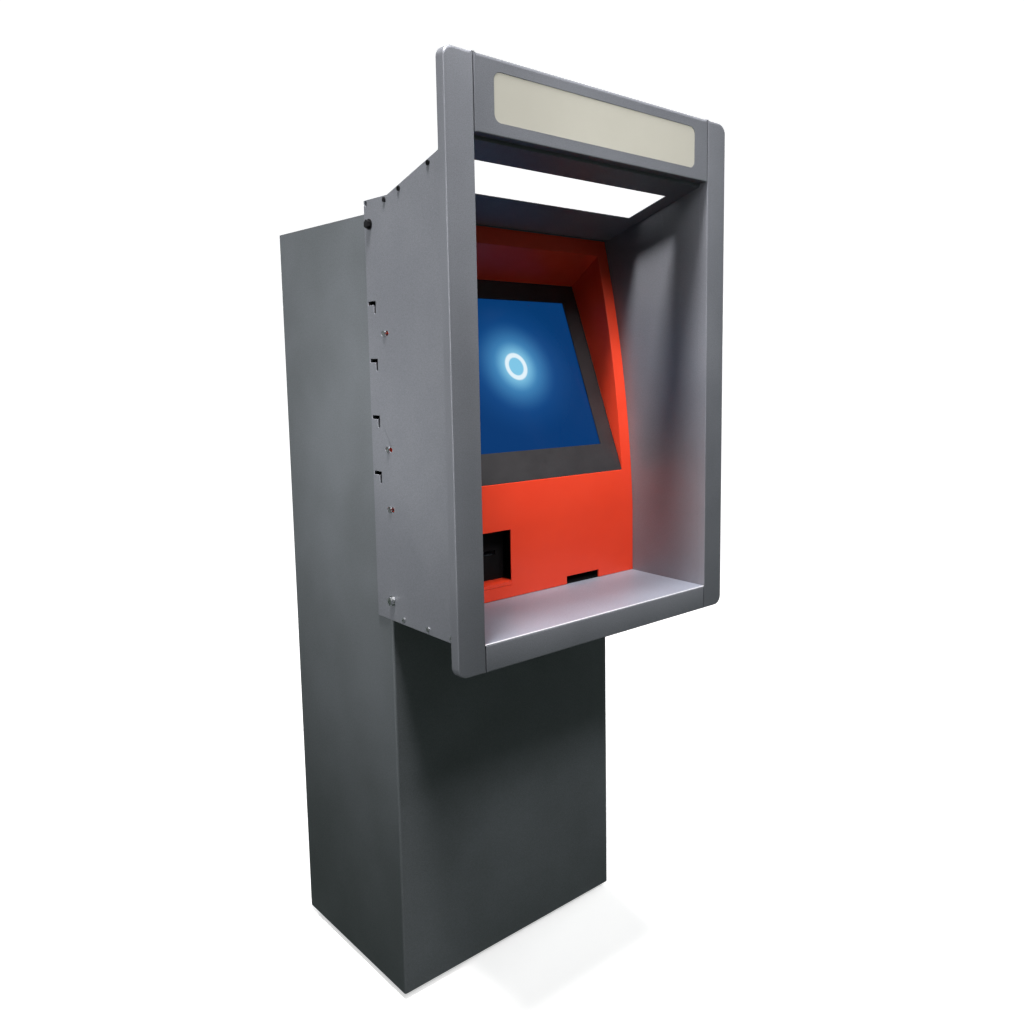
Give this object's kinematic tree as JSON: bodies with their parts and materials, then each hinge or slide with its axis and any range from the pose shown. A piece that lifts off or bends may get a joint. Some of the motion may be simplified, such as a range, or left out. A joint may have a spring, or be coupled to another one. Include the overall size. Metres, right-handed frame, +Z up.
{
  "type": "atm machine",
  "caption": "Floor-standing through-the-wall cash machine with a projecting hood, wide front bezel and a reclined touch screen in a red fascia.",
  "frame": {"origin": "on the floor, at the centre of the overall box in plan", "axes": "+Z up; the front, with the bezel and the screen, faces -Y; +X is to the right of a person who faces the front"},
  "size_m": [0.6, 0.659, 1.574],
  "materials": {
    "grey_coat": "fine-texture metallic grey powder coat",
    "dark_steel": "dark grey painted sheet steel",
    "sign_acrylic": "cream acrylic sheet",
    "zinc": "bright zinc plating",
    "black_oxide": "black oxide",
    "red_coat": "satin orange-red paint",
    "black_plastic": "fine-grained black plastic",
    "display": "lit display behind a glossy face",
    "steel_plain": "galvanised sheet",
    "rubber_black": "matte rubber",
    "paper": "thermal paper",
    "cassette_plastic": "moulded plastic",
    "switch_red": "glossy red plastic"
  },
  "bodies": {
    "cabinet": {"bezel_stile_left": "grey_coat", "bezel_stile_right": "grey_coat", "bezel_header": "grey_coat", "bezel_bottom_rail": "grey_coat", "bezel_backplate": "dark_steel", "sign_panel": "sign_acrylic", "bezel_screws": "zinc", "hood_side_left": "grey_coat", "hood_side_right": "grey_coat", "roof_panel": "grey_coat", "sill_shelf": "grey_coat", "roof_screws": "black_oxide", "sill_screws": "zinc", "clamp_bolts": "zinc", "upper_bolts": "black_oxide", "fascia_screws": "zinc", "fascia": "red_coat", "port_ledge": "red_coat", "note_port_face": "black_plastic", "touch_frame": "black_plastic", "display_panel": "display", "monitor_housing": "steel_plain", "monitor_rails": "dark_steel", "monitor_bolts": "zinc", "cabinet_shell": "grey_coat", "cabinet_top": "grey_coat", "cabinet_base": "dark_steel", "hinge_frame_leaves": "zinc", "hinge_pins": "zinc", "foot_pads": "rubber_black", "foot_studs": "zinc", "foot_nuts": "zinc", "cable_grommet": "rubber_black", "equipment_shelf": "dark_steel", "receipt_printer": "cassette_plastic", "paper_chute": "black_plastic", "note_transport": "cassette_plastic", "dispenser_frame": "dark_steel", "control_computer": "black_plastic", "power_supply": "steel_plain", "power_inlet": "black_plastic"},
    "door": {"rear_door": "grey_coat", "hinge_door_leaves": "zinc", "lock_body": "zinc", "fan_frame": "black_plastic", "fan_screws": "zinc"},
    "door_lock": {"lock_plug": "zinc", "lock_cam": "zinc"},
    "fan": {"fan_rotor": "black_plastic"},
    "printer_lid": {"printer_cover": "black_plastic"},
    "receipt_roll": {"paper_roll": "paper"},
    "platen": {"platen_roller": "rubber_black"},
    "upper_cassette": {"cassette_upper": "cassette_plastic"},
    "lower_cassette": {"cassette_lower": "cassette_plastic"},
    "upper_handle": {"handle_upper": "zinc"},
    "lower_handle": {"handle_lower": "zinc"},
    "computer_button": {"power_button": "zinc"},
    "mains_rocker": {"rocker_switch": "switch_red"}
  },
  "joints": [
    {"name": "door_swing", "type": "hinge", "parent": "cabinet", "child": "door", "pos_m": [0.22725, 0.325, 0.7], "axis": [0, 0, -1], "range_deg": [0, 120]},
    {"name": "lock_turn", "type": "hinge", "parent": "door", "child": "door_lock", "pos_m": [-0.19, 0.3205, 0.7], "axis": [0, -1, 0], "range_deg": [0, 90]},
    {"name": "fan_spin", "type": "hinge", "parent": "door", "child": "fan", "pos_m": [0, 0.3055, 1.24], "axis": [0, 1, 0], "continuous": true},
    {"name": "printer_lid_lift", "type": "hinge", "parent": "cabinet", "child": "printer_lid", "pos_m": [0.115, 0.0965, 0.8515], "axis": [-1, 0, 0], "range_deg": [0, 80]},
    {"name": "receipt_roll_spin", "type": "hinge", "parent": "cabinet", "child": "receipt_roll", "pos_m": [0.115, 0.0405, 0.79], "axis": [1, 0, 0], "continuous": true},
    {"name": "platen_spin", "type": "hinge", "parent": "cabinet", "child": "platen", "pos_m": [0.115, -0.0255, 0.832], "axis": [1, 0, 0], "continuous": true},
    {"name": "upper_cassette_slide", "type": "slide", "parent": "cabinet", "child": "upper_cassette", "axis": [0, 1, 0], "range_m": [0, 0.06]},
    {"name": "lower_cassette_slide", "type": "slide", "parent": "cabinet", "child": "lower_cassette", "axis": [0, 1, 0], "range_m": [0, 0.06]},
    {"name": "upper_handle_fold", "type": "hinge", "parent": "upper_cassette", "child": "upper_handle", "pos_m": [0, 0.2335, 0.4805], "axis": [1, 0, 0], "range_deg": [0, 90]},
    {"name": "lower_handle_fold", "type": "hinge", "parent": "lower_cassette", "child": "lower_handle", "pos_m": [0, 0.2335, 0.3475], "axis": [1, 0, 0], "range_deg": [0, 90]},
    {"name": "computer_button_press", "type": "slide", "parent": "cabinet", "child": "computer_button", "axis": [0, -1, 0], "range_m": [0, 0.0025], "stiffness_N_per_m": 600},
    {"name": "mains_rocker_tilt", "type": "hinge", "parent": "cabinet", "child": "mains_rocker", "pos_m": [-0.164, 0.3215, 0.052], "axis": [1, 0, 0], "range_deg": [-20, 0]}
  ],
  "couplings": [
    {"joint": "platen_spin", "follows": "receipt_roll_spin", "ratio": 6}
  ]
}
